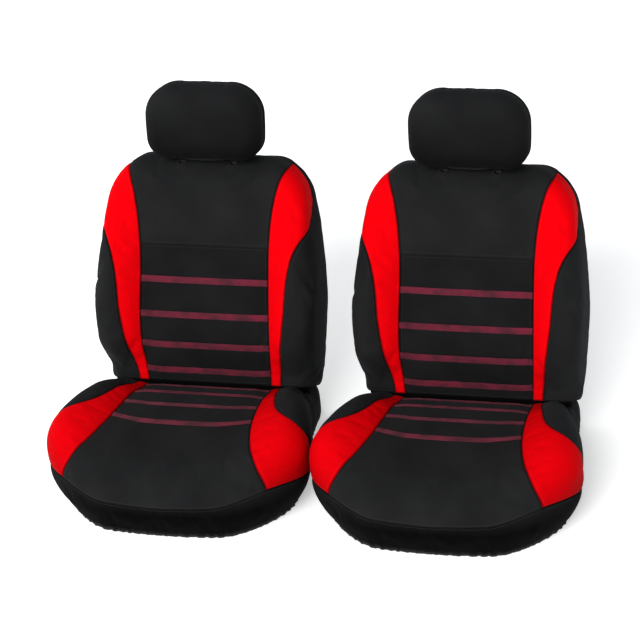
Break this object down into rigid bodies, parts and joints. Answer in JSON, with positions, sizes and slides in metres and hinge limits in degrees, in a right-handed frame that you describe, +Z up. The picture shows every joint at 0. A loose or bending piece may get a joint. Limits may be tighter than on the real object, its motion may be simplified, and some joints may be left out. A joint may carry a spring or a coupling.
{
  "type": "car seat cover set",
  "caption": "Fitted fabric covers for front car seats: padded backrest, cushion and headrest covers with coloured side wings and striped centres.",
  "frame": {"origin": "centre of the pair's footprint, on the plane the hems stand on", "axes": "+X from the left seat cover to the right one, +Y from the cushions' front to the backrests, +Z up"},
  "size_m": [1.253, 0.7472, 0.8118],
  "materials": {
    "black_fabric": "matte knit",
    "red_fabric": "matte mesh",
    "stripe_fabric": "woven stripe",
    "elastic": "gathered elastic",
    "webbing": "woven webbing",
    "buckle_plastic": "moulded"
  },
  "bodies": {
    "left_cushion_cover": {"left_seat_center_panel": "black_fabric", "left_seat_red_wing_left": "red_fabric", "left_seat_red_wing_right": "red_fabric", "left_seat_side_panel_left": "black_fabric", "left_seat_side_panel_right": "black_fabric", "left_seat_front_skirt": "black_fabric", "left_seat_rear_band": "black_fabric", "left_seat_hem_elastic": "elastic", "left_seat_stripes": "stripe_fabric", "left_seat_strap_front": "webbing", "left_seat_strap_rear": "webbing", "left_buckle_socket_half": "buckle_plastic"},
    "left_buckle_prong": {"left_buckle_prong_half": "buckle_plastic"},
    "left_backrest_cover": {"left_back_center_panel": "black_fabric", "left_back_ribbed_panel": "black_fabric", "left_back_red_panel_left": "red_fabric", "left_back_red_panel_right": "red_fabric", "left_back_side_panel_left": "black_fabric", "left_back_side_panel_right": "black_fabric", "left_back_rear_panel": "black_fabric", "left_back_post_binding_left": "elastic", "left_back_post_binding_right": "elastic", "left_back_stripes": "stripe_fabric", "left_back_hem_elastic": "elastic", "left_crease_flap": "black_fabric"},
    "left_headrest_cover": {"left_head_front_panel": "black_fabric", "left_head_rear_panel": "black_fabric", "left_head_hem_elastic": "elastic"},
    "right_cushion_cover": {"right_seat_center_panel": "black_fabric", "right_seat_red_wing_left": "red_fabric", "right_seat_red_wing_right": "red_fabric", "right_seat_side_panel_left": "black_fabric", "right_seat_side_panel_right": "black_fabric", "right_seat_front_skirt": "black_fabric", "right_seat_rear_band": "black_fabric", "right_seat_hem_elastic": "elastic", "right_seat_stripes": "stripe_fabric", "right_seat_strap_front": "webbing", "right_seat_strap_rear": "webbing", "right_buckle_socket_half": "buckle_plastic"},
    "right_buckle_prong": {"right_buckle_prong_half": "buckle_plastic"},
    "right_backrest_cover": {"right_back_center_panel": "black_fabric", "right_back_ribbed_panel": "black_fabric", "right_back_red_panel_left": "red_fabric", "right_back_red_panel_right": "red_fabric", "right_back_side_panel_left": "black_fabric", "right_back_side_panel_right": "black_fabric", "right_back_rear_panel": "black_fabric", "right_back_post_binding_left": "elastic", "right_back_post_binding_right": "elastic", "right_back_stripes": "stripe_fabric", "right_back_hem_elastic": "elastic", "right_crease_flap": "black_fabric"},
    "right_headrest_cover": {"right_head_front_panel": "black_fabric", "right_head_rear_panel": "black_fabric", "right_head_hem_elastic": "elastic"}
  },
  "joints": [
    {"name": "left_recline", "type": "hinge", "parent": "left_cushion_cover", "child": "left_backrest_cover", "pos_m": [-0.316, 0.1754, 0.12], "axis": [-1, 0, 0], "range_deg": [0, 30]},
    {"name": "left_headrest_lift", "type": "slide", "parent": "left_backrest_cover", "child": "left_headrest_cover", "axis": [0, 0.309, 0.9511], "range_m": [0, 0.07]},
    {"name": "left_buckle_release", "type": "slide", "parent": "left_cushion_cover", "child": "left_buckle_prong", "axis": [0, -1, 0], "range_m": [0, 0.018]},
    {"name": "right_cover_set_apart", "type": "slide", "parent": "left_cushion_cover", "child": "right_cushion_cover", "axis": [1, 0, 0], "range_m": [0, 0.3]},
    {"name": "right_recline", "type": "hinge", "parent": "right_cushion_cover", "child": "right_backrest_cover", "pos_m": [0.316, 0.1754, 0.12], "axis": [-1, 0, 0], "range_deg": [0, 30]},
    {"name": "right_headrest_lift", "type": "slide", "parent": "right_backrest_cover", "child": "right_headrest_cover", "axis": [0, 0.309, 0.9511], "range_m": [0, 0.07]},
    {"name": "right_buckle_release", "type": "slide", "parent": "right_cushion_cover", "child": "right_buckle_prong", "axis": [0, -1, 0], "range_m": [0, 0.018]}
  ]
}
